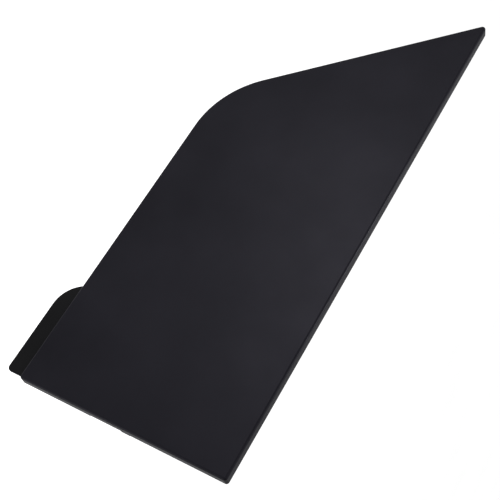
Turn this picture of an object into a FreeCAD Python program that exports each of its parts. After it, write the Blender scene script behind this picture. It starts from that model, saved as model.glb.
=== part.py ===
import FreeCAD, Part
import math
import os
from FreeCAD import Vector

# Vehicle kick plate: a moulded plastic panel with one square end and one raked end.
# +X runs along the sill towards the square end, +Z is up, +Y points into the body it is clipped to.
# The origin is on the main locating pin, in the plane of the skirt's rear rim.

# --- driving dimensions, millimetres -------------------------------------------------------

HEIGHT = 240.0            # long top edge to bottom edge
LENGTH = 588.0            # square end to raked tip, along the top edge
RAKE_ANGLE = 50.8         # between the top edge and the raked edge, degrees
SHOULDER_RADIUS = 110.6   # where the raked edge meets the bottom edge
CORNER_RADIUS = 3.0
TIP_RADIUS = 3.5

DEPTH = 11.6              # front face to the skirt's rear rim
SKIN = 3.0
SKIRT = 2.3
FRONT_EDGE_RADIUS = 2.5
INNER_CORNER_RADIUS = 1.0

PIN_FROM_END = 70.0       # main locating pin to the square end
PIN_RADIUS = 4.0
PIN_STRAIGHT = 10.0
PIN_TAPER = 2.0
PIN_TIP_RADIUS = 2.8
POST_BASE_RADIUS = 8.0
POST_TOP_RADIUS = 6.5
POST_FIN_REACH = 14.0
SECOND_PIN = (-300.0, 0.0)

RIB_THICKNESS = 1.4
RIB_HEIGHT = 3.2
RIB_PITCH_X = 50.0
RIB_PITCH_Z = 40.0
RIB_FIRST_X = 25.0
RIB_COUNT_X = 11
RIB_COUNT_Z = 5

TOWER_SIZE = 20.0         # clip tower, square in plan
TOWER_WALL = 1.6
TOWER_DROP = 2.0          # tower's seat below the rear rim
TOWER_ROOF = 1.8
KEYHOLE_WIDTH = 6.6

CLIP_FIRST_X = 0.0
CLIP_PITCH = 150.0
CLIP_ROW_INSET = 24.0     # top clip row below the top edge
CLIP_LOW_INSET = 26.0     # bottom clip row above the bottom edge
RAKE_CLIP_ALONG = 150.0   # from the tip, along the raked edge
RAKE_CLIP_INSET = 30.0

CLIP_HEAD_RADIUS = 6.4
CLIP_HEAD_THICKNESS = 1.2
CLIP_HEAD_GAP = 0.2
CLIP_NECK_RADIUS = 3.0
CLIP_FLANGE_RADIUS = 7.5
CLIP_FLANGE_THICKNESS = 1.4
CLIP_SHANK_RADIUS = 2.2
CLIP_LENGTH = 18.0        # rear rim to the clip's tip
FIN_COUNT = 5
FIN_PITCH = 2.6
FIN_FIRST = 3.2
FIN_RADIUS = 4.2
FIN_UNDERCUT = 0.3        # from a barb's root to its outer edge, on the flange's side
FIN_EDGE = 0.5            # width of a barb's outer edge
FIN_LENGTH = 1.9          # root to root
CLIP_POINT = 1.4
FLANGE_CHAMFER = 0.5

SEAL_OUTER_RADIUS = 8.2
SEAL_INNER_RADIUS = 2.5
SEAL_THICKNESS = 2.0

LAP_WIDTH = 117.0         # overlap plate, along the bottom edge
LAP_END_INSET = 3.2       # plate's end to the square end
LAP_DROP = 20.9           # how far the plate shows below the bottom edge
LAP_RISE = 42.0           # how far it reaches up behind the panel
LAP_THICKNESS = 2.5
LAP_DEPTH = 6.5           # front face to the plate's front
LAP_BIG_RADIUS = 35.3
LAP_SMALL_RADIUS = 5.0
LAP_TOP_RADIUS = 8.0
LAP_HOLE_RADIUS = 2.3
LAP_SLOT_CLEARANCE = 0.8
LAP_STANDOFF = 0.2

SCREW_SPACING_X = 84.0
SCREW_SPACING_Z = 22.0
SCREW_ROW_ABOVE_EDGE = 13.0
SCREW_RADIUS = 1.7
SCREW_BITE = 4.5
SCREW_HEAD_RADIUS = 4.0
SCREW_HEAD_HEIGHT = 2.2
SCREW_DOME = 1.32
RECESS_WIDTH = 1.0
RECESS_LENGTH = 4.6
RECESS_DEPTH = 1.2
BOSS_RADIUS = 4.5

PAD_LENGTH = 40.0
PAD_WIDTH = 28.0
PAD_PROUD = 3.0           # foam pad beyond the rear rim
PAD_CELLS = [(0.0, 60.0), (-150.0, 20.0), (-400.0, 60.0)]

RIM_NOTCH_DEPTH = 1.5     # relief in the square end's rim
RIM_NOTCH_SPAN = (-35.5, 0.5)
RIM_LUG_SPAN = (1.5, 11.0)
RIM_LUG_PROUD = 1.0
RIM_NIB_SPAN = (-37.5, -36.0)
RIM_NIB_PROUD = 0.4

ROOT = 0.5                # how far ribs and bosses are let into the skin
CLEAR = 1.0               # how far a cut runs past the surface that it opens

# --- places worked out from the driving dimensions -----------------------------------------

TOP = HEIGHT / 2
BOTTOM = -HEIGHT / 2
END = PIN_FROM_END
TIP = END - LENGTH
FRONT = -DEPTH
SKIN_BACK = FRONT + SKIN
RAKE = math.radians(RAKE_ANGLE)
SHOULDER = TIP + HEIGHT / math.tan(RAKE)
SEAT = -TOWER_DROP
LAP_FRONT = FRONT + LAP_DEPTH
LAP_BACK = LAP_FRONT + LAP_THICKNESS
LAP_RIGHT = END - LAP_END_INSET
LAP_LEFT = LAP_RIGHT - LAP_WIDTH

BACKWARDS = Vector(0, 1, 0)


def at(place, y):
    """The point at plan place (x, z) and depth y."""
    return Vector(place[0], y, place[1])


def panel_corners(inset=0.0):
    """Plan corners (x, z, radius) of the panel, moved inwards by inset."""
    left_shift = inset / math.sin(RAKE)
    slant = inset / math.tan(RAKE)
    inner = max(CORNER_RADIUS - inset, INNER_CORNER_RADIUS)
    return [
        (END - inset, TOP - inset, inner),
        (END - inset, BOTTOM + inset, inner),
        (SHOULDER + left_shift - slant, BOTTOM + inset, SHOULDER_RADIUS - inset),
        (TIP + left_shift + slant, TOP - inset, max(TIP_RADIUS - inset, INNER_CORNER_RADIUS)),
    ]


def rounded_face(corners, y):
    """A flat face in the plane at depth y, with an arc at each corner."""
    starts = []
    arcs = []
    ends = []
    count = len(corners)
    for index in range(count):
        x, z, radius = corners[index]
        before = corners[index - 1]
        after = corners[(index + 1) % count]
        point = Vector(x, y, z)
        to_before = (Vector(before[0], y, before[1]) - point).normalize()
        to_after = (Vector(after[0], y, after[1]) - point).normalize()
        half = to_before.getAngle(to_after) / 2
        reach = radius / math.tan(half)
        middle = (to_before + to_after).normalize() * (radius / math.sin(half) - radius)
        starts.append(point + to_before * reach)
        ends.append(point + to_after * reach)
        arcs.append(Part.Arc(starts[-1], point + middle, ends[-1]).toShape())
    edges = []
    for index in range(count):
        edges.append(arcs[index])
        edges.append(Part.LineSegment(ends[index], starts[(index + 1) % count]).toShape())
    return Part.Face(Part.Wire(edges))


def slab(corners, front, back):
    """A rounded plan outline extruded between two depths."""
    return rounded_face(corners, front).extrude(BACKWARDS * (back - front))


def block(x_span, y_span, z_span):
    """A box between two x, two y and two z values."""
    low = Vector(x_span[0], y_span[0], z_span[0])
    return Part.makeBox(x_span[1] - x_span[0], y_span[1] - y_span[0], z_span[1] - z_span[0], low)


def rod(place, radius, front, back):
    """A cylinder along Y at a plan place."""
    return Part.makeCylinder(radius, back - front, at(place, front), BACKWARDS)


def taper(place, front_radius, back_radius, front, back):
    """A cone along Y at a plan place."""
    return Part.makeCone(front_radius, back_radius, back - front, at(place, front), BACKWARDS)


def turned(place, profile):
    """A profile of (radius, y) points turned about the Y axis through a plan place."""
    points = [Vector(place[0] + radius, y, place[1]) for radius, y in profile]
    face = Part.Face(Part.makePolygon(points + [points[0]]))
    return face.revolve(at(place, 0), BACKWARDS, 360)


def clip_places():
    """Plan places of the retaining clips: top row, bottom row, then the raked edge."""
    top_z = TOP - CLIP_ROW_INSET
    low_z = BOTTOM + CLIP_LOW_INSET
    top_row = [(CLIP_FIRST_X - CLIP_PITCH * step, top_z) for step in range(4)]
    low_row = [(CLIP_FIRST_X - CLIP_PITCH * step, low_z) for step in (1, 2)]
    along = Vector(math.cos(RAKE), 0, -math.sin(RAKE)) * RAKE_CLIP_ALONG
    inward = Vector(math.sin(RAKE), 0, math.cos(RAKE)) * RAKE_CLIP_INSET
    raked = Vector(TIP, 0, TOP) + along + inward
    return top_row + low_row + [(raked.x, raked.z)]


def screw_places():
    """Plan places of the four screws that hold the overlap plate."""
    middle = (LAP_LEFT + LAP_RIGHT) / 2
    low_z = BOTTOM + SCREW_ROW_ABOVE_EDGE
    places = []
    for side in (-1, 1):
        for row in (0, 1):
            places.append((middle + side * SCREW_SPACING_X / 2, low_z + row * SCREW_SPACING_Z))
    return places


def shell():
    """The skin with its perimeter skirt, open at the back."""
    outer = slab(panel_corners(), FRONT, 0)
    front_edges = [edge for edge in outer.Edges if edge.BoundBox.YMax < FRONT + 0.01]
    outer = outer.makeFillet(FRONT_EDGE_RADIUS, front_edges)
    return outer.cut(slab(panel_corners(SKIRT), SKIN_BACK, CLEAR))


def tower(place):
    """A clip tower: two side walls, an end wall and a roof with a keyhole open at the left."""
    x, z = place
    half = TOWER_SIZE / 2
    room = half - TOWER_WALL
    body = block((x - half, x + half), (SKIN_BACK, SEAT), (z - half, z + half))
    body = body.cut(block((x - half - CLEAR, x + room), (SKIN_BACK, SEAT - TOWER_ROOF), (z - room, z + room)))
    slot_half = KEYHOLE_WIDTH / 2
    slot_span = (SEAT - TOWER_ROOF - CLEAR, SEAT + CLEAR)
    body = body.cut(rod(place, slot_half, *slot_span))
    return body.cut(block((x - half - CLEAR, x), slot_span, (z - slot_half, z + slot_half)))


def locating_pin(place):
    """A post with four fins, and the plain pin that leaves it at the rear rim."""
    x, z = place
    post = taper(place, POST_BASE_RADIUS, POST_TOP_RADIUS, SKIN_BACK, 0)
    pin = rod(place, PIN_RADIUS, 0, PIN_STRAIGHT)
    point = taper(place, PIN_RADIUS, PIN_TIP_RADIUS, PIN_STRAIGHT, PIN_STRAIGHT + PIN_TAPER)
    fin_half = RIB_THICKNESS / 2
    fin_span = (SKIN_BACK, SEAT)
    along_x = block((x - POST_FIN_REACH, x + POST_FIN_REACH), fin_span, (z - fin_half, z + fin_half))
    along_z = block((x - fin_half, x + fin_half), fin_span, (z - POST_FIN_REACH, z + POST_FIN_REACH))
    return post.multiFuse([pin, point, along_x, along_z])


def ribs():
    """The grid of stiffening ribs on the back of the skin, trimmed to the inside of the skirt."""
    half = RIB_THICKNESS / 2
    span = (SKIN_BACK - ROOT, SKIN_BACK + RIB_HEIGHT)
    bars = []
    for step in range(RIB_COUNT_X):
        x = RIB_FIRST_X - RIB_PITCH_X * step
        bars.append(block((x - half, x + half), span, (BOTTOM, TOP)))
    for step in range(RIB_COUNT_Z):
        z = RIB_PITCH_Z * (step - RIB_COUNT_Z // 2)
        bars.append(block((TIP, END), span, (z - half, z + half)))
    grid = bars[0].multiFuse(bars[1:])
    return grid.common(slab(panel_corners(SKIRT / 2), SKIN_BACK - ROOT, 0))


def end_rim(panel):
    """The square end's rim: a shallow relief, a small nib below it and a lug above it."""
    wall = (END - SKIRT, END)
    notch = block((END - SKIRT - CLEAR, END + CLEAR), (-RIM_NOTCH_DEPTH, CLEAR), RIM_NOTCH_SPAN)
    lug = block(wall, (-ROOT, RIM_LUG_PROUD), RIM_LUG_SPAN)
    nib = block(wall, (-ROOT, RIM_NIB_PROUD), RIM_NIB_SPAN)
    return panel.cut(notch).multiFuse([lug, nib])


def face_panel():
    """The moulded panel with its ribs, clip towers, screw bosses and locating pins."""
    features = [ribs()]
    features += [tower(place) for place in clip_places()]
    features += [locating_pin((0, 0)), locating_pin(SECOND_PIN)]
    features += [rod(place, BOSS_RADIUS, SKIN_BACK - ROOT, LAP_FRONT) for place in screw_places()]
    panel = shell().multiFuse(features)
    for place in screw_places():
        panel = panel.cut(rod(place, SCREW_RADIUS, LAP_FRONT - SCREW_BITE, LAP_FRONT + CLEAR))
    slot_x = (LAP_LEFT - LAP_SLOT_CLEARANCE, END - SKIRT)
    slot_z = (BOTTOM - CLEAR, BOTTOM + SKIRT)
    panel = panel.cut(block(slot_x, (LAP_FRONT - LAP_STANDOFF, CLEAR), slot_z))
    return end_rim(panel).removeSplitter()


def lap_plate():
    """The flat plate that laps behind the neighbouring trim, with its four screw holes."""
    low = BOTTOM - LAP_DROP
    high = BOTTOM + LAP_RISE
    corners = [
        (LAP_RIGHT, high, LAP_TOP_RADIUS),
        (LAP_RIGHT, low, LAP_SMALL_RADIUS),
        (LAP_LEFT, low, LAP_BIG_RADIUS),
        (LAP_LEFT, high, LAP_TOP_RADIUS),
    ]
    plate = slab(corners, LAP_FRONT, LAP_BACK)
    for place in screw_places():
        plate = plate.cut(rod(place, LAP_HOLE_RADIUS, LAP_FRONT - CLEAR, LAP_BACK + CLEAR))
    return plate


def lap_screw(place):
    """A domed screw with a cross recess, its shank filling the boss's pilot hole."""
    x, z = place
    head_back = LAP_BACK + SCREW_HEAD_HEIGHT
    head = rod(place, SCREW_HEAD_RADIUS, LAP_BACK, head_back)
    head = head.makeFillet(SCREW_DOME, [head.Edges[0]])
    shank = rod(place, SCREW_RADIUS, LAP_FRONT - SCREW_BITE, LAP_BACK)
    screw = head.fuse(shank)
    recess_y = (head_back - RECESS_DEPTH, head_back + CLEAR)
    long_half = RECESS_LENGTH / 2
    thin_half = RECESS_WIDTH / 2
    screw = screw.cut(block((x - long_half, x + long_half), recess_y, (z - thin_half, z + thin_half)))
    return screw.cut(block((x - thin_half, x + thin_half), recess_y, (z - long_half, z + long_half)))


def retaining_clip(place):
    """A push-in clip: a head inside the tower, a flange on its roof and a barbed shank."""
    roof = SEAT - TOWER_ROOF
    flange_back = SEAT + CLIP_FLANGE_THICKNESS
    profile = [
        (0, roof - CLIP_HEAD_GAP - CLIP_HEAD_THICKNESS),
        (CLIP_HEAD_RADIUS, roof - CLIP_HEAD_GAP - CLIP_HEAD_THICKNESS),
        (CLIP_HEAD_RADIUS, roof - CLIP_HEAD_GAP),
        (CLIP_NECK_RADIUS, roof - CLIP_HEAD_GAP),
        (CLIP_NECK_RADIUS, SEAT),
        (CLIP_FLANGE_RADIUS, SEAT),
        (CLIP_FLANGE_RADIUS, flange_back - FLANGE_CHAMFER),
        (CLIP_FLANGE_RADIUS - FLANGE_CHAMFER, flange_back),
        (CLIP_SHANK_RADIUS, flange_back),
    ]
    for step in range(FIN_COUNT):
        base = FIN_FIRST + FIN_PITCH * step
        profile.append((CLIP_SHANK_RADIUS, base))
        profile.append((FIN_RADIUS, base + FIN_UNDERCUT))
        profile.append((FIN_RADIUS, base + FIN_UNDERCUT + FIN_EDGE))
        profile.append((CLIP_SHANK_RADIUS, base + FIN_LENGTH))
    profile.append((CLIP_SHANK_RADIUS, CLIP_LENGTH - CLIP_POINT))
    profile.append((CLIP_SHANK_RADIUS / 2, CLIP_LENGTH))
    profile.append((0, CLIP_LENGTH))
    return turned(place, profile)


def clip_seal(place):
    """The foam washer between a clip's flange and the body."""
    front = SEAT + CLIP_FLANGE_THICKNESS
    ring = rod(place, SEAL_OUTER_RADIUS, front, front + SEAL_THICKNESS)
    return ring.cut(rod(place, SEAL_INNER_RADIUS, front - CLEAR, front + SEAL_THICKNESS + CLEAR))


def foam_pad(place):
    """A self-adhesive foam block that stops the panel drumming on the body."""
    half_length = PAD_LENGTH / 2
    half_width = PAD_WIDTH / 2
    x, z = place
    return block((x - half_length, x + half_length), (SKIN_BACK, PAD_PROUD), (z - half_width, z + half_width))


def save(name, shape):
    """Check a node and write it as one STEP file."""
    if not shape.isValid():
        raise ValueError("invalid shape: " + name)
    shape.exportStep("parts/" + name + ".step")
    print(name, "solids", len(shape.Solids), "volume", round(shape.Volume, 1))


def main():
    os.makedirs("parts", exist_ok=True)
    save("face_panel", face_panel())
    save("lap_plate", lap_plate())
    save("lap_plate_screws", Part.makeCompound([lap_screw(place) for place in screw_places()]))
    for number, place in enumerate(clip_places(), start=1):
        save("retaining_clip_" + str(number), retaining_clip(place))
        save("clip_seal_" + str(number), clip_seal(place))
    for number, place in enumerate(PAD_CELLS, start=1):
        save("foam_pad_" + str(number), foam_pad(place))


main()
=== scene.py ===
import math

import bmesh
import bpy
from mathutils import Matrix, Vector, noise


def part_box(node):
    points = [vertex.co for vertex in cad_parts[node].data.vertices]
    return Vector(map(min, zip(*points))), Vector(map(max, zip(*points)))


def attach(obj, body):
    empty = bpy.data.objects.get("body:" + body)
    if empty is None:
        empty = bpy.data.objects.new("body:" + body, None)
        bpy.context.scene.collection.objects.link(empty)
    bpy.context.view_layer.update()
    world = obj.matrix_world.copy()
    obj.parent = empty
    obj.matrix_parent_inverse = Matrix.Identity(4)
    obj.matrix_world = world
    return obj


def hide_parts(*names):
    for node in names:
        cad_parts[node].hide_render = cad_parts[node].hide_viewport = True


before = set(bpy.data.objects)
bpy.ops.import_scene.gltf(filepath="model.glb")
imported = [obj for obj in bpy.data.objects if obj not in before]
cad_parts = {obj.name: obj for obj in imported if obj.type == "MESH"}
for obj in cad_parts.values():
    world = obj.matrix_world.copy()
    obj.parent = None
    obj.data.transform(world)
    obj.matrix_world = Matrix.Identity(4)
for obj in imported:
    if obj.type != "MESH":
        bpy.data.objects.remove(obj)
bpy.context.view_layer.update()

# The visual model of a moulded kick plate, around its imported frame. Everything is in metres.
# The face looks along -Y, the long edge is on top and the square end is on the right.

MM = 0.001

# --- the panel's shape ----------------------------------------------------------------------

panel_low, panel_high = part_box("face_panel")
END = panel_high.x
TOP = panel_high.z
BOTTOM = panel_low.z
FRONT = panel_low.y
RIM = 0.0

LENGTH = 588.0 * MM
RAKE = math.radians(50.8)
SHOULDER_RADIUS = 110.6 * MM
CORNER_RADIUS = 3.0 * MM
TIP_RADIUS = 3.5 * MM
INNER_CORNER_RADIUS = 0.7 * MM
SKIN = 3.0 * MM
SKIRT = 2.3 * MM
FACE_EDGE_RADIUS = 2.5 * MM
RIM_EDGE_RADIUS = 0.35 * MM
ROOT_RADIUS = 0.8 * MM
FACE_ARC_STEPS = 8
RIM_ARC_STEPS = 4
OUTSIDE_STEPS = FACE_ARC_STEPS + RIM_ARC_STEPS + 1   # steps of the section that are outside the skirt

TIP = END - LENGTH
SKIN_BACK = FRONT + SKIN
SHOULDER = TIP + (TOP - BOTTOM) / math.tan(RAKE)

RIB_HEIGHT = 3.2 * MM
RIB_BASE = 1.6 * MM
RIB_CREST = 1.1 * MM
RIB_PITCH_X = 50.0 * MM
RIB_PITCH_Z = 40.0 * MM
RIB_FIRST_X = 25.0 * MM
RIB_COUNT_X = 11
RIB_ROWS = (-2, -1, 0, 1, 2)
SINK = 0.3 * MM           # how far a rib, boss or tower is let into the wall that it grows from

SEAT = -2.0 * MM          # the clip towers' roofs, and the posts' fins
TOWER_HALF = 10.0 * MM
TOWER_WALL = 1.6 * MM
TOWER_ROOF = 1.8 * MM
KEYHOLE_HALF = 3.3 * MM
POST_FIN_REACH = 14.0 * MM
BOSS_RADIUS = 4.5 * MM

LAP_SMALL_RADIUS = 5.0 * MM
LAP_TOP_RADIUS = 8.0 * MM
LAP_BIG_RADIUS = 35.3 * MM
LAP_EDGE_RADIUS = 0.5 * MM
LAP_HOLE_RADIUS = 2.3 * MM
SCREW_HEAD_RADIUS = 4.0 * MM

CLIPS = 7
CLIP_HEAD_RADIUS = 6.4 * MM
CLIP_FLANGE_RADIUS = 7.5 * MM
CLIP_SHANK_RADIUS = 2.1 * MM
CLIP_FLAT_HALF = 3.1 * MM          # the shank is trimmed to two flats this far from its middle
BARBS = 5
BARB_FIRST = 3.2 * MM
BARB_PITCH = 2.6 * MM
BARB_RADIUS = 4.2 * MM

PADS = 3
MAIN_PIN = (0.0, 0.0)
RAKE_PIN = (-300.0 * MM, 0.0)
EJECTOR_COLUMNS = 5
EJECTOR_ROWS = (-1.5, 0.5, 2.5)    # in rib pitches
EJECTOR_MARGIN = 8.0 * MM
EJECTOR_RISE = 0.18 * MM

LATHE_STEPS = 48

FLOOR_LEVEL = -1.1
FLOOR_HALF = 14.0
SURROUND_STRENGTH = 1.08
LIT_MIDDLE = Vector((-0.15, 0.0, 0.02))

CAMERA_LENS = 75.326               # in mm, as the sensor's width is
CAMERA_SENSOR = 36.0
CAMERA_AZIMUTH = 25.353
CAMERA_ELEVATION = 22.911
CAMERA_ROLL = 111.638
CAMERA_DISTANCE = 1.0604
CAMERA_TARGET = Vector((END - 221.03 * MM, FRONT, TOP - 100.50 * MM))

# Changes of level along the rear rim, as (place, level) in mm: down the square end, then the bottom.
END_RIM = [
    (11.3, 0.0), (11.0, 1.0), (1.5, 1.0), (1.2, 0.0), (0.8, 0.0), (0.5, -1.5),
    (-35.5, -1.5), (-35.8, 0.0), (-36.1, 0.4), (-37.3, 0.4), (-37.5, 0.0),
]
BOTTOM_RIM = [(66.9, -5.3), (-51.0, -5.3), (-51.3, 0.0)]


# --- mesh helpers ---------------------------------------------------------------------------

def piece_from(bm, name, material, stands_for=(), crease=35.0):
    """A finished bmesh becomes a piece that rides on the part's one body."""
    bmesh.ops.recalc_face_normals(bm, faces=bm.faces)
    mesh = bpy.data.meshes.new(name)
    bm.to_mesh(mesh)
    bm.free()
    mesh.shade_smooth()
    mesh.set_sharp_from_angle(angle=math.radians(crease))
    piece = bpy.data.objects.new(name, mesh)
    bpy.context.scene.collection.objects.link(piece)
    weighted = piece.modifiers.new("even_shading", "WEIGHTED_NORMAL")
    weighted.keep_sharp = True
    mesh.materials.append(material)
    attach(piece, "root")
    if stands_for:
        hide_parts(*stands_for)
    return piece


def add_prism(bm, outline, low_y, high_y):
    """A closed prism along Y over a plan outline of (x, z) points."""
    near = [bm.verts.new((x, low_y, z)) for x, z in outline]
    far = [bm.verts.new((x, high_y, z)) for x, z in outline]
    count = len(outline)
    bm.faces.new(near)
    bm.faces.new(far[::-1])
    for index in range(count):
        following = (index + 1) % count
        bm.faces.new((near[index], near[following], far[following], far[index]))


def rectangle(x_low, x_high, z_low, z_high):
    """Plan outline of a rectangle."""
    return [(x_low, z_low), (x_high, z_low), (x_high, z_high), (x_low, z_high)]


def around(centre, radius, turn):
    """The plan point at a turn round a centre, in radians."""
    return (centre[0] + radius * math.cos(turn), centre[1] + radius * math.sin(turn))


def plan_centre(node):
    """The plan centre (x, z) of a node."""
    low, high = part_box(node)
    return ((low.x + high.x) / 2, (low.z + high.z) / 2)


def circle(centre, radius, steps):
    """Plan outline of a circle."""
    return [around(centre, radius, 2 * math.pi * step / steps) for step in range(steps)]


def add_lathe(bm, centre, profile, steps=LATHE_STEPS, flat_half=None):
    """A profile of (radius, y) turned about Y. flat_half trims it to two flats along X."""
    rings = []
    for radius, y in profile:
        if radius == 0:
            rings.append([bm.verts.new((centre[0], y, centre[1]))])
            continue
        ring = []
        for step in range(steps):
            turn = 2 * math.pi * (step + 0.5) / steps
            reach = radius
            if flat_half:
                reach = min(radius, flat_half / abs(math.sin(turn)))
            x, z = around(centre, reach, turn)
            ring.append(bm.verts.new((x, y, z)))
        rings.append(ring)
    for first, second in zip(rings, rings[1:]):
        for step in range(steps):
            following = (step + 1) % steps
            if len(first) == 1:
                bm.faces.new((first[0], second[following], second[step]))
            elif len(second) == 1:
                bm.faces.new((first[step], first[following], second[0]))
            else:
                bm.faces.new((first[step], first[following], second[following], second[step]))
    for ring in (rings[0], rings[-1]):
        if len(ring) > 1 and rings[0] is not rings[-1]:
            bm.faces.new(ring)


def round_arc(centre, radius, start, stop, steps):
    """Points (a, b) on an arc, angles in degrees, both ends included."""
    points = []
    for step in range(steps + 1):
        turn = math.radians(start + (stop - start) * step / steps)
        points.append(around(centre, radius, turn))
    return points


def corner_points(corner, before, after, radius, steps):
    """An arc of plan points that rounds one corner of an outline."""
    point = Vector(corner)
    to_before = (Vector(before) - point).normalized()
    to_after = (Vector(after) - point).normalized()
    half = to_before.angle(to_after) / 2
    start = point + to_before * (radius / math.tan(half))
    centre = point + (to_before + to_after).normalized() * (radius / math.sin(half))
    sweep = (math.pi - 2 * half) * (1 if to_after.cross(to_before) > 0 else -1)
    spoke = start - centre
    points = []
    for step in range(steps + 1):
        turned = Matrix.Rotation(sweep * step / steps, 2) @ spoke
        points.append(tuple(centre + turned))
    return points


def solid_from(name, build):
    """A bare mesh object, used only as one side of a cut or a union."""
    bm = bmesh.new()
    build(bm)
    bmesh.ops.recalc_face_normals(bm, faces=bm.faces)
    mesh = bpy.data.meshes.new(name)
    bm.to_mesh(mesh)
    bm.free()
    solid = bpy.data.objects.new(name, mesh)
    bpy.context.scene.collection.objects.link(solid)
    return solid


def combined(target, other, operation, bevel=0.0):
    """The bmesh of target cut by or joined with other, its edges then rounded. Both are used up."""
    step = target.modifiers.new("combine", "BOOLEAN")
    step.operation = operation
    step.solver = "EXACT"
    step.object = other
    bpy.context.view_layer.update()
    depsgraph = bpy.context.evaluated_depsgraph_get()
    bm = bmesh.new()
    bm.from_object(target, depsgraph)
    for used in (target, other):
        bpy.data.objects.remove(used)
    bmesh.ops.remove_doubles(bm, verts=bm.verts, dist=1e-6)
    bmesh.ops.dissolve_limit(bm, angle_limit=math.radians(1), verts=bm.verts, edges=bm.edges)
    if bevel:
        steep = math.radians(40)
        sharp = [edge for edge in bm.edges if edge.is_manifold and edge.calc_face_angle() > steep]
        bmesh.ops.bevel(
            bm, geom=sharp, offset=bevel, segments=2, profile=0.5, affect="EDGES", clamp_overlap=True)
    return bm


# --- materials ------------------------------------------------------------------------------

def add_node(tree, kind, **settings):
    """A shader node with its settings and its unlinked inputs filled in."""
    node = tree.nodes.new(kind)
    for name, value in settings.items():
        if name in node.inputs:
            node.inputs[name].default_value = value
        else:
            setattr(node, name, value)
    return node


def start_material(name):
    """A node material with object coordinates ready: (material, tree, shader, coordinates)."""
    material = bpy.data.materials.new(name)
    material.use_nodes = True
    tree = material.node_tree
    shader = tree.nodes["Principled BSDF"]
    coordinates = add_node(tree, "ShaderNodeTexCoord").outputs["Object"]
    return material, tree, shader, coordinates


def tone_between(tree, factor, dark, light, low=0.3, high=0.7):
    """A colour that runs from dark to light as a texture runs from low to high."""
    ramp = add_node(tree, "ShaderNodeValToRGB")
    ramp.color_ramp.elements[0].position = low
    ramp.color_ramp.elements[0].color = (*dark, 1)
    ramp.color_ramp.elements[1].position = high
    ramp.color_ramp.elements[1].color = (*light, 1)
    tree.links.new(factor, ramp.inputs["Fac"])
    return ramp.outputs["Color"]


def value_between(tree, factor, low, high):
    """A number that runs from low to high as a texture runs from 0 to 1."""
    span = add_node(tree, "ShaderNodeMapRange")
    span.inputs["To Min"].default_value = low
    span.inputs["To Max"].default_value = high
    tree.links.new(factor, span.inputs["Value"])
    return span.outputs["Result"]


def noise_texture(tree, coordinates, scale, detail=3.0, roughness=0.5):
    """A noise field over the object, as a 0 to 1 factor."""
    field = add_node(tree, "ShaderNodeTexNoise", Scale=scale, Detail=detail, Roughness=roughness)
    tree.links.new(coordinates, field.inputs["Vector"])
    return field.outputs["Fac"]


def bump_on(tree, height, strength, distance, below=None):
    """A bump node over another one."""
    bump = add_node(tree, "ShaderNodeBump", Strength=strength, Distance=distance)
    tree.links.new(height, bump.inputs["Height"])
    if below:
        tree.links.new(below, bump.inputs["Normal"])
    return bump.outputs["Normal"]


def moulded_plastic(name, dark, light, roughness, grain_size, grain_depth, specular, sheen):
    """Grained moulded plastic: slow changes of tone, a fine leather-like grain and uneven gloss."""
    material, tree, shader, coordinates = start_material(name)
    clouds = noise_texture(tree, coordinates, 9.0, detail=4.0)
    tree.links.new(tone_between(tree, clouds, dark, light), shader.inputs["Base Color"])
    gloss = noise_texture(tree, coordinates, 26.0, detail=5.0, roughness=0.6)
    polish = value_between(tree, gloss, roughness - 0.05, roughness + 0.05)
    tree.links.new(polish, shader.inputs["Roughness"])
    grain = add_node(tree, "ShaderNodeTexVoronoi", Scale=1 / grain_size)
    tree.links.new(coordinates, grain.inputs["Vector"])
    fine = bump_on(tree, grain.outputs["Distance"], 0.6, grain_depth)
    flow = noise_texture(tree, coordinates, 14.0, detail=2.0)
    tree.links.new(bump_on(tree, flow, 0.25, 0.4 * MM, below=fine), shader.inputs["Normal"])
    shader.inputs["Specular IOR Level"].default_value = specular
    shader.inputs["Specular Tint"].default_value = (*sheen, 1)
    return material


def nylon(name):
    """Natural nylon: cream, waxy and slightly see-through at thin edges."""
    material, tree, shader, coordinates = start_material(name)
    flow = noise_texture(tree, coordinates, 300.0)
    cream = tone_between(tree, flow, (0.60, 0.57, 0.47), (0.74, 0.71, 0.61))
    tree.links.new(cream, shader.inputs["Base Color"])
    tree.links.new(value_between(tree, flow, 0.32, 0.48), shader.inputs["Roughness"])
    tree.links.new(bump_on(tree, flow, 0.2, 0.1 * MM), shader.inputs["Normal"])
    shader.inputs["Subsurface Weight"].default_value = 0.25
    shader.inputs["Subsurface Radius"].default_value = (0.003, 0.0025, 0.002)
    return material


def foam(name, dark, light, cell):
    """Closed-cell foam: small open pits on a cut face, each painted darker towards its middle as painted
    shade.
    """
    material, tree, shader, coordinates = start_material(name)
    pits = add_node(tree, "ShaderNodeTexVoronoi", Scale=1 / cell)
    tree.links.new(coordinates, pits.inputs["Vector"])
    # Painted shade: the pit mask darkens the colour where each pit is deepest.
    tone = tone_between(tree, pits.outputs["Distance"], dark, light, 0.1, 0.6)
    tree.links.new(tone, shader.inputs["Base Color"])
    lumps = noise_texture(tree, coordinates, 260.0)
    under = bump_on(tree, lumps, 0.5, 0.5 * MM)
    pitted = bump_on(tree, pits.outputs["Distance"], 0.9, cell * 0.6, below=under)
    tree.links.new(pitted, shader.inputs["Normal"])
    shader.inputs["Roughness"].default_value = 0.92
    shader.inputs["Specular IOR Level"].default_value = 0.25
    return material


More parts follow.
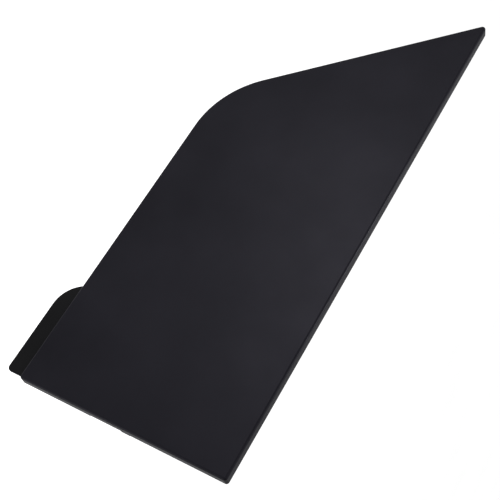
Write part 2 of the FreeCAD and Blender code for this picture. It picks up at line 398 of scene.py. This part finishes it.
def black_steel(name):
    """Phosphated screw steel: nearly black, with brighter rubbed patches."""
    material, tree, shader, coordinates = start_material(name)
    rub = noise_texture(tree, coordinates, 700.0, detail=4.0, roughness=0.65)
    tone = tone_between(tree, rub, (0.03, 0.03, 0.033), (0.13, 0.13, 0.135), 0.4, 0.75)
    tree.links.new(tone, shader.inputs["Base Color"])
    tree.links.new(value_between(tree, rub, 0.32, 0.6), shader.inputs["Roughness"])
    tree.links.new(bump_on(tree, rub, 0.2, 0.05 * MM), shader.inputs["Normal"])
    shader.inputs["Metallic"].default_value = 0.9
    return material


# The panel's face and back are one black plastic in two copies. The face copy is darker and less glossy
# than the plastic, as painted shade. The back copy is lighter and glossier, as painted light, so the
# back reads.
PANEL_PLASTIC_PAINTED_DARKER = moulded_plastic(
    "panel_plastic", dark=(0.0037, 0.0036, 0.0047), light=(0.0056, 0.0054, 0.0070), roughness=0.35,
    grain_size=0.55 * MM, grain_depth=0.02 * MM, specular=0.018, sheen=(0.86, 0.83, 1.0))
# Painted light: the lighter, glossier copy of the face's plastic, for the back and everything moulded on
# it.
BACK_PLASTIC_PAINTED_LIGHTER = moulded_plastic(
    "back_plastic", dark=(0.011, 0.011, 0.012), light=(0.019, 0.019, 0.021), roughness=0.42,
    grain_size=0.9 * MM, grain_depth=0.03 * MM, specular=0.30, sheen=(1.0, 1.0, 1.0))
PLATE_PLASTIC = moulded_plastic(
    "plate_plastic", dark=(0.0026, 0.0026, 0.0028), light=(0.0038, 0.0038, 0.0040), roughness=0.55,
    grain_size=0.8 * MM, grain_depth=0.05 * MM, specular=0.014, sheen=(0.95, 0.94, 1.0))
CLIP_NYLON = nylon("clip_nylon")
# Each foam's first tone is the painted shade in its pits.
SEAL_FOAM = foam("seal_foam", (0.020, 0.020, 0.021), (0.060, 0.060, 0.062), 0.5 * MM)
PAD_FOAM = foam("pad_foam", (0.030, 0.030, 0.031), (0.095, 0.096, 0.099), 0.9 * MM)
SCREW_STEEL = black_steel("screw_steel")


# --- the moulded panel ----------------------------------------------------------------------

def panel_loop(inset):
    """Plan points round the panel at a distance inside its edge, with the rim's level at each."""
    shift = inset / math.sin(RAKE)
    slant = inset / math.tan(RAKE)
    small = max(CORNER_RADIUS - inset, INNER_CORNER_RADIUS)
    sharp = max(TIP_RADIUS - inset, INNER_CORNER_RADIUS)
    square_top = (END - inset, TOP - inset)
    square_bottom = (END - inset, BOTTOM + inset)
    shoulder = (SHOULDER + shift - slant, BOTTOM + inset)
    tip = (TIP + shift + slant, TOP - inset)
    points = [(point, 0.0) for point in corner_points(square_top, tip, square_bottom, small, 8)]
    points += [((END - inset, z * MM), level * MM) for z, level in END_RIM]
    points += [(point, 0.0) for point in corner_points(square_bottom, square_top, shoulder, small, 8)]
    points += [((x * MM, BOTTOM + inset), level * MM) for x, level in BOTTOM_RIM]
    wide = SHOULDER_RADIUS - inset
    points += [(point, 0.0) for point in corner_points(shoulder, square_bottom, tip, wide, 64)]
    points += [(point, 0.0) for point in corner_points(tip, shoulder, square_top, sharp, 16)]
    return points


def panel_profile():
    """The skirt's section from the face to the floor inside, as (inset, y, follows the rim)."""
    face = FACE_EDGE_RADIUS
    rim = RIM_EDGE_RADIUS
    face_arc = round_arc((face, FRONT + face), face, 270, 180, FACE_ARC_STEPS)
    outer_arc = round_arc((rim, -rim), rim, 180, 90, RIM_ARC_STEPS)
    inner_arc = round_arc((SKIRT - rim, -rim), rim, 90, 0, RIM_ARC_STEPS)
    root_arc = round_arc((SKIRT + ROOT_RADIUS, SKIN_BACK + ROOT_RADIUS), ROOT_RADIUS, 180, 270, 5)
    section = []
    for arc, follows_rim in ((face_arc, False), (outer_arc, True), (inner_arc, True), (root_arc, False)):
        section += [(inset, y, follows_rim) for inset, y in arc]
    return section


def build_shell():
    """The skin and its perimeter skirt, one closed moulding open at the back."""
    bm = bmesh.new()
    rows = []
    for inset, y, follows_rim in panel_profile():
        row = []
        for (x, z), level in panel_loop(inset):
            row.append(bm.verts.new((x, y + (level if follows_rim else 0.0), z)))
        rows.append(row)
    count = len(rows[0])
    for step, (near, far) in enumerate(zip(rows, rows[1:])):
        inside = step >= OUTSIDE_STEPS
        for index in range(count):
            following = (index + 1) % count
            face = bm.faces.new((near[index], near[following], far[following], far[index]))
            face.material_index = int(inside)
    bm.faces.new(rows[0][::-1])
    bm.faces.new(rows[-1]).material_index = 1
    # The face takes the darker copy, painted shade, and the inside and the back take the lighter copy,
    # painted light.
    piece = piece_from(bm, "panel_shell", PANEL_PLASTIC_PAINTED_DARKER, ["face_panel"])
    piece.data.materials.append(BACK_PLASTIC_PAINTED_LIGHTER)
    return piece


def floor_of_panel(x):
    """The lowest z inside the skirt at this x."""
    low = BOTTOM + SKIRT
    reach = SHOULDER_RADIUS * math.tan(RAKE / 2)
    centre = Vector((SHOULDER + reach, BOTTOM + SHOULDER_RADIUS))
    if x >= centre.x:
        return low
    raked = TOP - (x - TIP) * math.tan(RAKE) + SKIRT / math.cos(RAKE)
    inner = SHOULDER_RADIUS - SKIRT
    if x < centre.x - inner * math.sin(RAKE):
        return raked
    return centre.y - math.sqrt(inner ** 2 - (centre.x - x) ** 2)


def left_of_panel(z):
    """The lowest x inside the skirt at this z."""
    low = TIP
    high = END
    for _ in range(40):
        middle = (low + high) / 2
        if floor_of_panel(middle) > z:
            low = middle
        else:
            high = middle
    return high


def add_rib(bm, start, stop, along_x):
    """One drafted rib with a narrow crest, between two plan points."""
    crest_y = SKIN_BACK + RIB_HEIGHT
    section = [(-RIB_BASE / 2, SKIN_BACK - SINK), (RIB_BASE / 2, SKIN_BACK - SINK)]
    section += [(RIB_CREST / 2, crest_y - 0.15 * MM), (RIB_CREST / 2 - 0.15 * MM, crest_y)]
    section += [(-RIB_CREST / 2 + 0.15 * MM, crest_y), (-RIB_CREST / 2, crest_y - 0.15 * MM)]
    rings = []
    for x, z in (start, stop):
        ring = []
        for across, y in section:
            ring.append(bm.verts.new((x, y, z + across) if along_x else (x + across, y, z)))
        rings.append(ring)
    count = len(section)
    for index in range(count):
        following = (index + 1) % count
        bm.faces.new((rings[0][index], rings[0][following], rings[1][following], rings[1][index]))
    bm.faces.new(rings[0])
    bm.faces.new(rings[1][::-1])


def build_ribs():
    """The grid of stiffening ribs, upright ribs and rows joined into one."""
    def upright(bm):
        for step in range(RIB_COUNT_X):
            x = RIB_FIRST_X - RIB_PITCH_X * step
            low = floor_of_panel(x)
            add_rib(bm, (x, low - SINK), (x, TOP - SKIRT + SINK), along_x=False)

    def rows(bm):
        for step in RIB_ROWS:
            z = RIB_PITCH_Z * step
            add_rib(bm, (left_of_panel(z) - SINK, z), (END - SKIRT + SINK, z), along_x=True)

    bm = combined(solid_from("uprights", upright), solid_from("rows", rows), "UNION")
    return piece_from(bm, "rib_grid", BACK_PLASTIC_PAINTED_LIGHTER, ["face_panel"])


def build_tower(number, place):
    """One clip tower: a hollow block with a keyhole in its roof, open to the left."""
    x, z = place
    room = TOWER_HALF - TOWER_WALL
    outer = rectangle(x - TOWER_HALF, x + TOWER_HALF, z - TOWER_HALF, z + TOWER_HALF)
    inner = rectangle(x - TOWER_HALF - MM, x + room, z - room, z + room)
    keyhole = [(x - TOWER_HALF - MM, z - KEYHOLE_HALF)]
    keyhole += round_arc((x, z), KEYHOLE_HALF, -90, 90, 16)
    keyhole += [(x - TOWER_HALF - MM, z + KEYHOLE_HALF)]

    def block(bm):
        add_prism(bm, outer, SKIN_BACK - SINK, SEAT)

    def hollow(bm):
        add_prism(bm, inner, SKIN_BACK - MM, SEAT - TOWER_ROOF)

    def slot(bm):
        add_prism(bm, keyhole, SEAT - TOWER_ROOF - 0.5 * MM, SEAT + MM)

    cavity = combined(solid_from("hollow", hollow), solid_from("slot", slot), "UNION")
    cutter = solid_from("cavity", lambda bm: None)
    cavity.to_mesh(cutter.data)
    cavity.free()
    bm = combined(solid_from("block", block), cutter, "DIFFERENCE", bevel=0.25 * MM)
    name = "clip_tower_" + str(number)
    return piece_from(bm, name, BACK_PLASTIC_PAINTED_LIGHTER, ["face_panel"])


def build_post(name, place):
    """A locating pin on a tapered post with four sloping fins."""
    x, z = place
    bm = bmesh.new()
    profile = [(9.0 * MM, SKIN_BACK - SINK), (9.0 * MM, SKIN_BACK)]
    profile += round_arc((9.0 * MM, SKIN_BACK + 1.2 * MM), 1.2 * MM, 270, 190, 5)[1:]
    profile += [(6.7 * MM, -0.3 * MM), (6.4 * MM, RIM), (4.3 * MM, RIM), (4.0 * MM, 0.3 * MM)]
    profile += [(4.0 * MM, 10.0 * MM), (3.7 * MM, 10.8 * MM), (2.8 * MM, 11.8 * MM)]
    profile += [(2.5 * MM, 12.0 * MM), (0, 12.0 * MM)]
    add_lathe(bm, place, [(0, SKIN_BACK - SINK)] + profile)
    half = RIB_CREST / 2
    for turn in range(4):
        spin = Matrix.Rotation(turn * math.pi / 2, 3, "Y")
        outline = [(4.0 * MM, SKIN_BACK - SINK), (POST_FIN_REACH, SKIN_BACK - SINK)]
        outline += [(POST_FIN_REACH, SKIN_BACK + MM), (8.5 * MM, SEAT), (4.0 * MM, SEAT)]
        rings = []
        foot = Vector((x, 0, z))
        for side in (-half, half):
            rings.append([bm.verts.new(spin @ Vector((out, y, side)) + foot) for out, y in outline])
        count = len(outline)
        bm.faces.new(rings[0])
        bm.faces.new(rings[1][::-1])
        for index in range(count):
            following = (index + 1) % count
            bm.faces.new((rings[0][index], rings[0][following], rings[1][following], rings[1][index]))
    return piece_from(bm, name, BACK_PLASTIC_PAINTED_LIGHTER, ["face_panel"])


def build_bosses(places, top):
    """The four screw bosses under the overlap plate."""
    bm = bmesh.new()
    for place in places:
        base = BOSS_RADIUS + MM
        profile = [(0, SKIN_BACK - SINK), (base, SKIN_BACK - SINK), (base, SKIN_BACK)]
        profile += round_arc((base, SKIN_BACK + MM), MM, 270, 180, 4)[1:]
        profile += [(BOSS_RADIUS, top - 0.2 * MM), (BOSS_RADIUS - 0.2 * MM, top), (0, top)]
        add_lathe(bm, place, profile)
    return piece_from(bm, "screw_bosses", BACK_PLASTIC_PAINTED_LIGHTER, ["face_panel"])


def build_ejector_marks(places):
    """The faint raised discs that the mould's ejector pins leave on the back of the skin."""
    bm = bmesh.new()
    crest = SKIN_BACK + EJECTOR_RISE
    dish = SKIN_BACK + EJECTOR_RISE / 2
    for place in places:
        profile = [(0, SKIN_BACK - SINK), (3.5 * MM, SKIN_BACK - SINK), (3.5 * MM, crest)]
        profile += [(2.9 * MM, crest), (2.8 * MM, dish), (0, dish)]
        add_lathe(bm, place, profile, steps=32)
    return piece_from(bm, "ejector_marks", BACK_PLASTIC_PAINTED_LIGHTER, ["face_panel"])


# --- what is fitted to it -------------------------------------------------------------------

def build_lap_plate(screw_places):
    """The overlap plate: four rounded corners, softened edges and four screw holes."""
    low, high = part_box("lap_plate")
    corners = [
        ((high.x, high.z), LAP_TOP_RADIUS, 10),
        ((high.x, low.z), LAP_SMALL_RADIUS, 10),
        ((low.x, low.z), LAP_BIG_RADIUS, 32),
        ((low.x, high.z), LAP_TOP_RADIUS, 10),
    ]

    def edge_loop(inset):
        points = []
        for index, (corner, radius, steps) in enumerate(corners):
            before = corners[index - 1][0]
            after = corners[(index + 1) % 4][0]
            for x, z in corner_points(corner, before, after, radius, steps):
                points.append((x, z, corner, radius))
        inset_points = []
        for x, z, corner, radius in points:
            inward = Vector((math.copysign(radius, -corner[0] + (low.x + high.x) / 2), 0))
            inward.y = math.copysign(radius, -corner[1] + (low.z + high.z) / 2)
            to_centre = (Vector(corner) + inward - Vector((x, z))).normalized()
            inset_points.append(tuple(Vector((x, z)) + to_centre * inset))
        return inset_points

    def plate(bm):
        soft = LAP_EDGE_RADIUS
        section = round_arc((soft, low.y + soft), soft, 270, 180, 5)
        section += round_arc((soft, high.y - soft), soft, 180, 90, 5)
        rows = []
        for inset, y in section:
            rows.append([bm.verts.new((x, y, z)) for x, z in edge_loop(inset)])
        count = len(rows[0])
        for near, far in zip(rows, rows[1:]):
            for index in range(count):
                following = (index + 1) % count
                bm.faces.new((near[index], near[following], far[following], far[index]))
        bm.faces.new(rows[0][::-1])
        bm.faces.new(rows[-1])

    def drills(bm):
        for place in screw_places:
            add_prism(bm, circle(place, LAP_HOLE_RADIUS, 32), low.y - MM, high.y + MM)

    bm = combined(solid_from("plate", plate), solid_from("drills", drills), "DIFFERENCE")
    return piece_from(bm, "overlap_plate", PLATE_PLASTIC, ["lap_plate"])


def build_clip(number):
    """A push-in clip: head in its tower, dished flange, and a barbed shank with two flats."""
    node = "retaining_clip_" + str(number)
    low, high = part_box(node)
    centre = plan_centre(node)
    head = low.y
    top = [(0, head), (CLIP_HEAD_RADIUS - 0.3 * MM, head), (CLIP_HEAD_RADIUS, head + 0.3 * MM)]
    top += [(CLIP_HEAD_RADIUS, head + 0.9 * MM), (CLIP_HEAD_RADIUS - 0.3 * MM, head + 1.2 * MM)]
    top += [(3.3 * MM, head + 1.2 * MM), (3.0 * MM, head + 1.5 * MM)]
    top += [(3.0 * MM, SEAT - 0.2 * MM), (3.2 * MM, SEAT), (CLIP_FLANGE_RADIUS - 0.4 * MM, SEAT)]
    top += [(CLIP_FLANGE_RADIUS, SEAT + 0.4 * MM), (CLIP_FLANGE_RADIUS, SEAT + 1.2 * MM)]
    top += [(CLIP_FLANGE_RADIUS - 0.2 * MM, SEAT + 1.4 * MM)]
    top += [(CLIP_FLANGE_RADIUS - 0.6 * MM, SEAT + 1.3 * MM), (4.5 * MM, SEAT + 0.9 * MM)]
    top += [(2.5 * MM, SEAT + 1.0 * MM), (CLIP_SHANK_RADIUS, SEAT + 1.6 * MM)]
    top += [(0, SEAT + 1.6 * MM)]
    shank = [(0, SEAT + MM), (2.0 * MM, SEAT + MM)]
    for step in range(BARBS):
        base = BARB_FIRST + BARB_PITCH * step
        shank += [(2.0 * MM, base - 0.1 * MM), (2.4 * MM, base), (4.0 * MM, base + 0.15 * MM)]
        shank += [(BARB_RADIUS, base + 0.4 * MM), (BARB_RADIUS - 0.1 * MM, base + 0.7 * MM)]
        shank += [(2.6 * MM, base + 1.5 * MM), (CLIP_SHANK_RADIUS, base + 1.9 * MM)]
    end = high.y
    shank += [(CLIP_SHANK_RADIUS, end - 1.6 * MM), (1.8 * MM, end - 0.9 * MM)]
    shank += [(1.0 * MM, end - 0.15 * MM), (0.5 * MM, end), (0, end)]
    bm = bmesh.new()
    add_lathe(bm, centre, top)
    add_lathe(bm, centre, shank, flat_half=CLIP_FLAT_HALF)
    return piece_from(bm, "clip_" + str(number), CLIP_NYLON, [node])


def build_seal(number):
    """A foam washer with soft, slightly bulged edges."""
    node = "clip_seal_" + str(number)
    low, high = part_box(node)
    centre = plan_centre(node)
    outer = (high.x - low.x) / 2
    middle = (low.y + high.y) / 2
    half = (high.y - low.y) / 2
    section = [(2.8 * MM, low.y), (outer - 0.7 * MM, low.y), (outer - 0.2 * MM, low.y + 0.3 * MM)]
    section += [(outer, middle), (outer - 0.2 * MM, high.y - 0.3 * MM), (outer - 0.7 * MM, high.y)]
    section += [(2.8 * MM, high.y), (2.5 * MM, middle + half / 2), (2.5 * MM, middle - half / 2)]
    bm = bmesh.new()
    rings = []
    for radius, y in section:
        ring = []
        for step in range(LATHE_STEPS):
            turn = 2 * math.pi * step / LATHE_STEPS
            spot = Vector((math.cos(turn) * 2, number, math.sin(turn) * 2))
            wobble = 1 - 0.012 * (1 + noise.noise(spot))
            x, z = around(centre, radius * wobble, turn)
            ring.append(bm.verts.new((x, y, z)))
        rings.append(ring)
    for index, ring in enumerate(rings):
        other = rings[(index + 1) % len(rings)]
        for step in range(LATHE_STEPS):
            following = (step + 1) % LATHE_STEPS
            bm.faces.new((ring[step], ring[following], other[following], other[step]))
    piece = piece_from(bm, "seal_" + str(number), SEAL_FOAM, [node], crease=80)
    return piece


def build_pad(number):
    """A cut foam block: rounded edges, a crowned back and slightly wavering sides."""
    node = "foam_pad_" + str(number)
    low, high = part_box(node)
    centre = (low + high) / 2
    half = (high - low) / 2
    bm = bmesh.new()
    bmesh.ops.create_cube(bm, size=2.0)
    bmesh.ops.subdivide_edges(bm, edges=bm.edges, cuts=15, use_grid_fill=True)
    softness = Vector((0.10, 0.22, 0.14))
    for vert in bm.verts:
        unit = vert.co.copy()
        crowned = 1 - 0.06 * (unit.x ** 2 + unit.z ** 2) / 2 if unit.y > 0 else 1.0
        rounded = Vector([math.copysign(min(abs(value), 1.0), value) for value in unit])
        for axis in range(3):
            others = [abs(unit[other]) for other in range(3) if other != axis]
            near_edge = max(0.0, max(others) - (1 - softness[axis])) / softness[axis]
            rounded[axis] *= 1 - softness[axis] * 0.35 * near_edge ** 2
        drift = noise.noise(unit * 1.7 + Vector((number * 3.1, 0, 0))) * 0.012
        vert.co = Vector((
            centre.x + half.x * rounded.x * (0.985 + drift),
            centre.y + half.y * (rounded.y * crowned if unit.y > -1 else -1.0),
            centre.z + half.z * rounded.z * (0.985 + drift),
        ))
    piece = piece_from(bm, "anti_drum_pad_" + str(number), PAD_FOAM, [node], crease=80)
    return piece


def screw_places():
    """The plan centres of the four screws, from the box round their heads."""
    low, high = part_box("lap_plate_screws")
    places = []
    for x in (low.x + SCREW_HEAD_RADIUS, high.x - SCREW_HEAD_RADIUS):
        for z in (low.z + SCREW_HEAD_RADIUS, high.z - SCREW_HEAD_RADIUS):
            places.append((x, z))
    return places


def ejector_places():
    """The plan centres of the ejector marks, in the middle of bays that clear the skirt."""
    places = []
    for column in range(EJECTOR_COLUMNS):
        x = -RIB_PITCH_X * (2 * column + 1)
        for row in EJECTOR_ROWS:
            z = RIB_PITCH_Z * row
            if z > floor_of_panel(x) + EJECTOR_MARGIN:
                places.append((x, z))
    return places


def build_object():
    """Every piece of the kick plate."""
    build_shell()
    build_ribs()
    for number in range(1, CLIPS + 1):
        build_tower(number, plan_centre("retaining_clip_" + str(number)))
        build_clip(number)
        build_seal(number)
    build_post("main_locating_pin", MAIN_PIN)
    build_post("rake_locating_pin", RAKE_PIN)
    places = screw_places()
    build_bosses(places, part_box("lap_plate")[0].y)
    build_lap_plate(places)
    for number in range(1, PADS + 1):
        build_pad(number)
    build_ejector_marks(ejector_places())
    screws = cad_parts["lap_plate_screws"]
    screws.data.materials.clear()
    screws.data.materials.append(SCREW_STEEL)


# --- stage, lights and camera ---------------------------------------------------------------

def build_floor():
    """A plain pale floor, well below the part because a vehicle's sill holds it up."""
    bm = bmesh.new()
    bmesh.ops.create_grid(bm, x_segments=8, y_segments=8, size=FLOOR_HALF)
    mesh = bpy.data.meshes.new("floor")
    bm.to_mesh(mesh)
    bm.free()
    floor = bpy.data.objects.new("floor", mesh)
    floor.location.z = FLOOR_LEVEL
    bpy.context.scene.collection.objects.link(floor)
    material, tree, shader, coordinates = start_material("floor_paint")
    tint = noise_texture(tree, coordinates, 1.5)
    paint = tone_between(tree, tint, (0.92, 0.92, 0.92), (0.94, 0.94, 0.94))
    tree.links.new(paint, shader.inputs["Base Color"])
    shader.inputs["Roughness"].default_value = 0.9
    shader.inputs["Specular IOR Level"].default_value = 0.0
    mesh.materials.append(material)


def aim(azimuth, elevation, roll=0.0):
    """A rotation that looks back at the part from a direction, in degrees, and that direction."""
    bearing = math.radians(azimuth)
    rise = math.radians(elevation)
    level = math.cos(rise)
    back = Vector((math.sin(bearing) * level, -math.cos(bearing) * level, math.sin(rise)))
    right = (-back).cross(Vector((0, 0, 1))).normalized()
    up = right.cross(-back)
    spin = math.radians(roll)
    across = right * math.cos(spin) + up * math.sin(spin)
    upward = -right * math.sin(spin) + up * math.cos(spin)
    return Matrix((across, upward, back)).transposed(), back


def soft_light(name, azimuth, elevation, distance, width, height, power):
    """A soft box that faces the middle of the part: degrees, metres and watts."""
    data = bpy.data.lights.new(name, "AREA")
    data.shape = "RECTANGLE"
    data.size = width
    data.size_y = height
    data.energy = power
    light = bpy.data.objects.new(name, data)
    turn, back = aim(azimuth, elevation)
    light.matrix_world = Matrix.Translation(LIT_MIDDLE + back * distance) @ turn.to_4x4()
    light.visible_camera = False
    bpy.context.scene.collection.objects.link(light)


def build_lights():
    """Studio light: an even white surround, a glow on the face and soft boxes along two edges."""
    world = bpy.data.worlds.new("surround")
    bpy.context.scene.world = world
    world.use_nodes = True
    surround = world.node_tree.nodes["Background"]
    surround.inputs["Color"].default_value = (1, 1, 1, 1)
    surround.inputs["Strength"].default_value = SURROUND_STRENGTH
    soft_light("face_glow", -23.5, -14.0, 1.8, 0.75, 0.35, 32.0)
    soft_light("face_glow_tip", -41, -5, 1.8, 0.5, 0.4, 5.0)
    soft_light("high_left", -58, 48, 1.6, 0.9, 0.7, 9.0)
    soft_light("long_edge_line", -112, 62, 1.6, 0.4, 0.4, 45.0)
    soft_light("square_end", 66, -28, 1.4, 0.9, 0.4, 8.0)
    soft_light("square_end_line", 86, -24, 1.4, 0.4, 0.4, 9.0)


def build_camera():
    """The camera: above and to the right of the face, and turned on its side."""
    data = bpy.data.cameras.new("camera")
    data.sensor_width = CAMERA_SENSOR
    data.lens = CAMERA_LENS
    camera = bpy.data.objects.new("camera", data)
    turn, back = aim(CAMERA_AZIMUTH, CAMERA_ELEVATION, roll=CAMERA_ROLL)
    camera.matrix_world = Matrix.Translation(CAMERA_TARGET + back * CAMERA_DISTANCE) @ turn.to_4x4()
    bpy.context.scene.collection.objects.link(camera)
    bpy.context.scene.camera = camera


build_object()
build_camera()
build_lights()
build_floor()
bpy.context.scene.view_settings.view_transform = "Standard"
